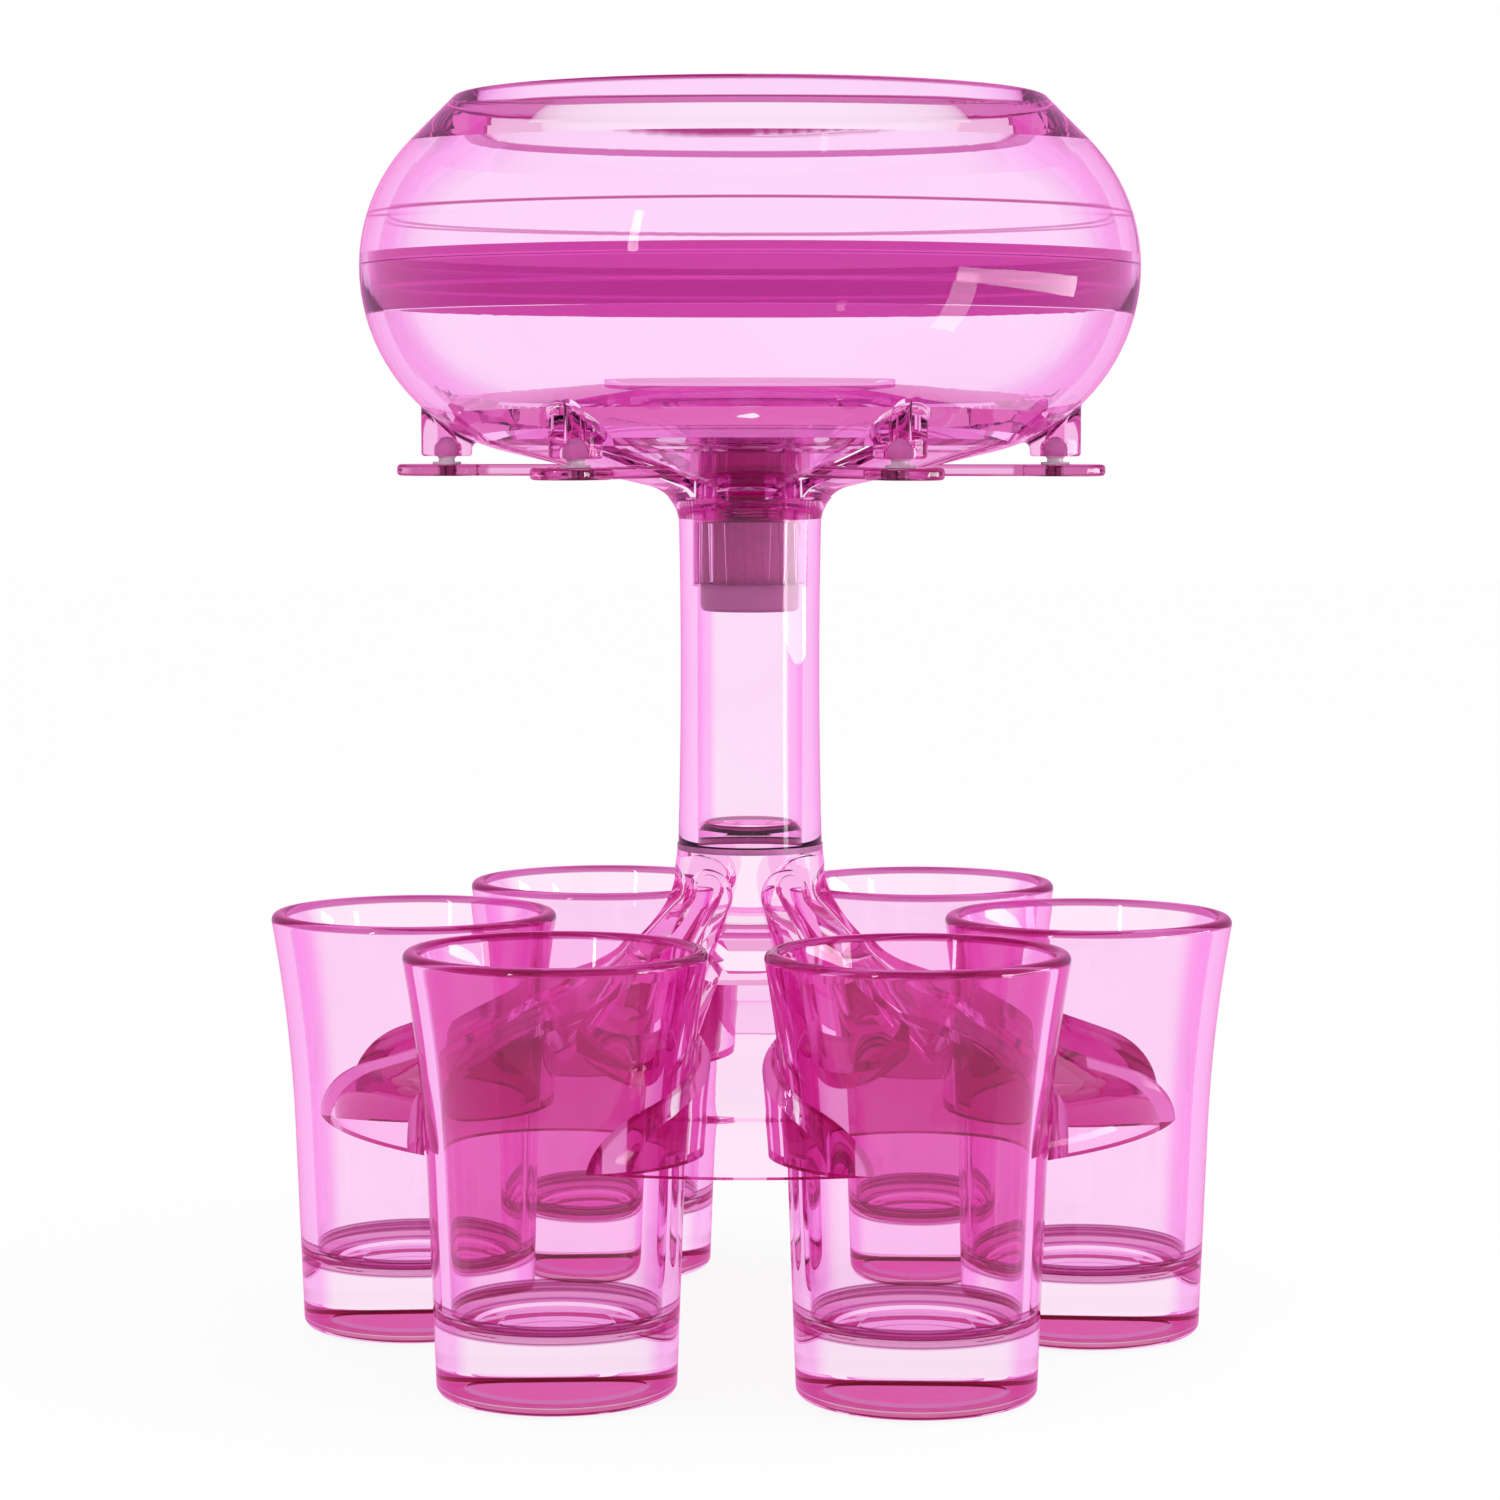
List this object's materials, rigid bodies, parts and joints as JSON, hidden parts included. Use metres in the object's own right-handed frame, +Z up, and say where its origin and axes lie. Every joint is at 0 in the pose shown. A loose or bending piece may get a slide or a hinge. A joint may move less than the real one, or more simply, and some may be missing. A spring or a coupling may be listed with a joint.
{
  "type": "party shot dispenser",
  "caption": "Clear pink drinks dispenser: a round bowl on a neck with a spring valve plate under its nozzles, over a bell-shaped carrier that grips flared shot cups.",
  "frame": {"origin": "on the neck's axis, in the plane of the six cups' feet", "axes": "+Z up along the neck to the bowl's mouth, -Y to the front, +X to the right towards cup 1"},
  "size_m": [0.1502, 0.136, 0.1916],
  "materials": {
    "bowl_clear": "clear pink acrylic, polished",
    "valve_clear": "clear magenta acrylic, polished",
    "sleeve_tint": "deep tinted plastic, polished",
    "seam_tint": "deeper magenta joint ring inside the wall",
    "stand_clear": "clear pink acrylic, polished",
    "cup_clear": "clear pink acrylic, polished",
    "seal": "soft translucent silicone",
    "dark_seal": "dark magenta silicone",
    "spring_steel": "bright spring wire"
  },
  "bodies": {
    "stand": {"cup_carrier": "stand_clear", "joint_ring": "dark_seal", "neck_tube": "stand_clear"},
    "bowl": {"bowl_top": "bowl_clear", "bowl_seal_ring": "seam_tint", "bowl_base": "bowl_clear", "skirt": "bowl_clear", "spigot_plug": "sleeve_tint", "spring_seat": "dark_seal", "valve_spring": "spring_steel"},
    "valve": {"valve_plate": "valve_clear", "plunger": "valve_clear", "seal_plug_1": "seal", "seal_plug_2": "seal", "seal_plug_3": "seal", "seal_plug_4": "seal", "seal_plug_5": "seal", "seal_plug_6": "seal"},
    "cup_1": {"shot_cup_1": "cup_clear"},
    "cup_2": {"shot_cup_2": "cup_clear"},
    "cup_3": {"shot_cup_3": "cup_clear"},
    "cup_4": {"shot_cup_4": "cup_clear"},
    "cup_5": {"shot_cup_5": "cup_clear"},
    "cup_6": {"shot_cup_6": "cup_clear"}
  },
  "joints": [
    {"name": "bowl_lift", "type": "slide", "parent": "stand", "child": "bowl", "axis": [0, 0, 1], "range_m": [0, 0.02]},
    {"name": "valve_press", "type": "slide", "parent": "bowl", "child": "valve", "axis": [0, 0, -1], "range_m": [0, 0.003], "stiffness_N_per_m": 300, "springref_m": -0.004, "deforming": ["valve_spring"]},
    {"name": "cup_1_lift", "type": "slide", "parent": "stand", "child": "cup_1", "axis": [0, 0, 1], "range_m": [0, 0.058]},
    {"name": "cup_2_lift", "type": "slide", "parent": "stand", "child": "cup_2", "axis": [0, 0, 1], "range_m": [0, 0.058]},
    {"name": "cup_3_lift", "type": "slide", "parent": "stand", "child": "cup_3", "axis": [0, 0, 1], "range_m": [0, 0.058]},
    {"name": "cup_4_lift", "type": "slide", "parent": "stand", "child": "cup_4", "axis": [0, 0, 1], "range_m": [0, 0.058]},
    {"name": "cup_5_lift", "type": "slide", "parent": "stand", "child": "cup_5", "axis": [0, 0, 1], "range_m": [0, 0.058]},
    {"name": "cup_6_lift", "type": "slide", "parent": "stand", "child": "cup_6", "axis": [0, 0, 1], "range_m": [0, 0.058]}
  ]
}
